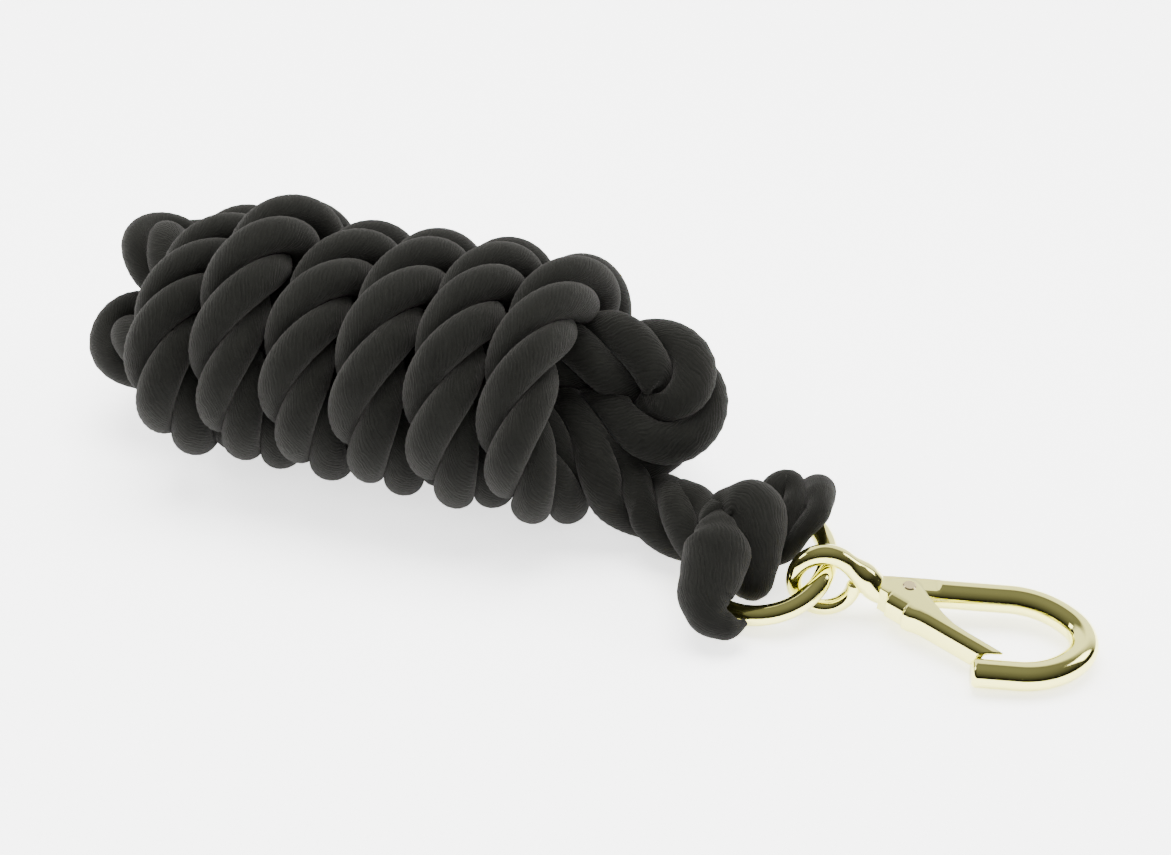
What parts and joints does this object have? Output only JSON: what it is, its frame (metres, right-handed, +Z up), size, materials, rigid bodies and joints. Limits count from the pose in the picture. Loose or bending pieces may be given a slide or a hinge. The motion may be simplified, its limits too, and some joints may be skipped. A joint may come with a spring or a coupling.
{
  "type": "lead rope",
  "caption": "Laid rope wound up as a hank, spliced round a metal ring that carries a snap hook with a sprung gate, for leading an animal.",
  "frame": {"origin": "on the surface the rope lies on, under the middle of the bounding box", "axes": "+X runs along the whole part towards the hook's bow, +Y to the far side, +Z up"},
  "size_m": [0.3601, 0.205, 0.088],
  "materials": {
    "rope": "matte, slightly fuzzy cotton",
    "twine": "matte waxed twine",
    "plated": "polished pale brass plating",
    "rivet": "polished",
    "spring": "plain spring steel"
  },
  "bodies": {
    "rope": {"rope_hank": "rope", "rope_lead_out": "rope", "rope_far_end": "rope", "end_whipping": "twine", "eye_splice": "rope"},
    "ring": {"ring": "plated"},
    "hook": {"hook_body": "plated"},
    "gate": {"gate": "plated", "gate_rivet": "rivet", "gate_spring": "spring"}
  },
  "joints": [
    {"name": "ring_turn", "type": "hinge", "parent": "rope", "child": "ring", "pos_m": [0.074, -0.0483, 0.012], "axis": [-0.2275, -0.2249, 0.9474], "range_deg": [-26, 18]},
    {"name": "hook_swing", "type": "hinge", "parent": "ring", "child": "hook", "pos_m": [0.09275, -0.05966, 0.01381], "axis": [0.4707, 0.8263, 0.3092], "range_deg": [-40, 20]},
    {"name": "gate_open", "type": "hinge", "parent": "hook", "child": "gate", "pos_m": [0.12075, -0.06347, 0.00985], "axis": [0.0324, -0.1037, 0.9941], "range_deg": [0, 28], "stiffness_Nm_per_rad": 0.05, "springref_deg": -20.05, "deforming": ["gate_spring"]}
  ]
}
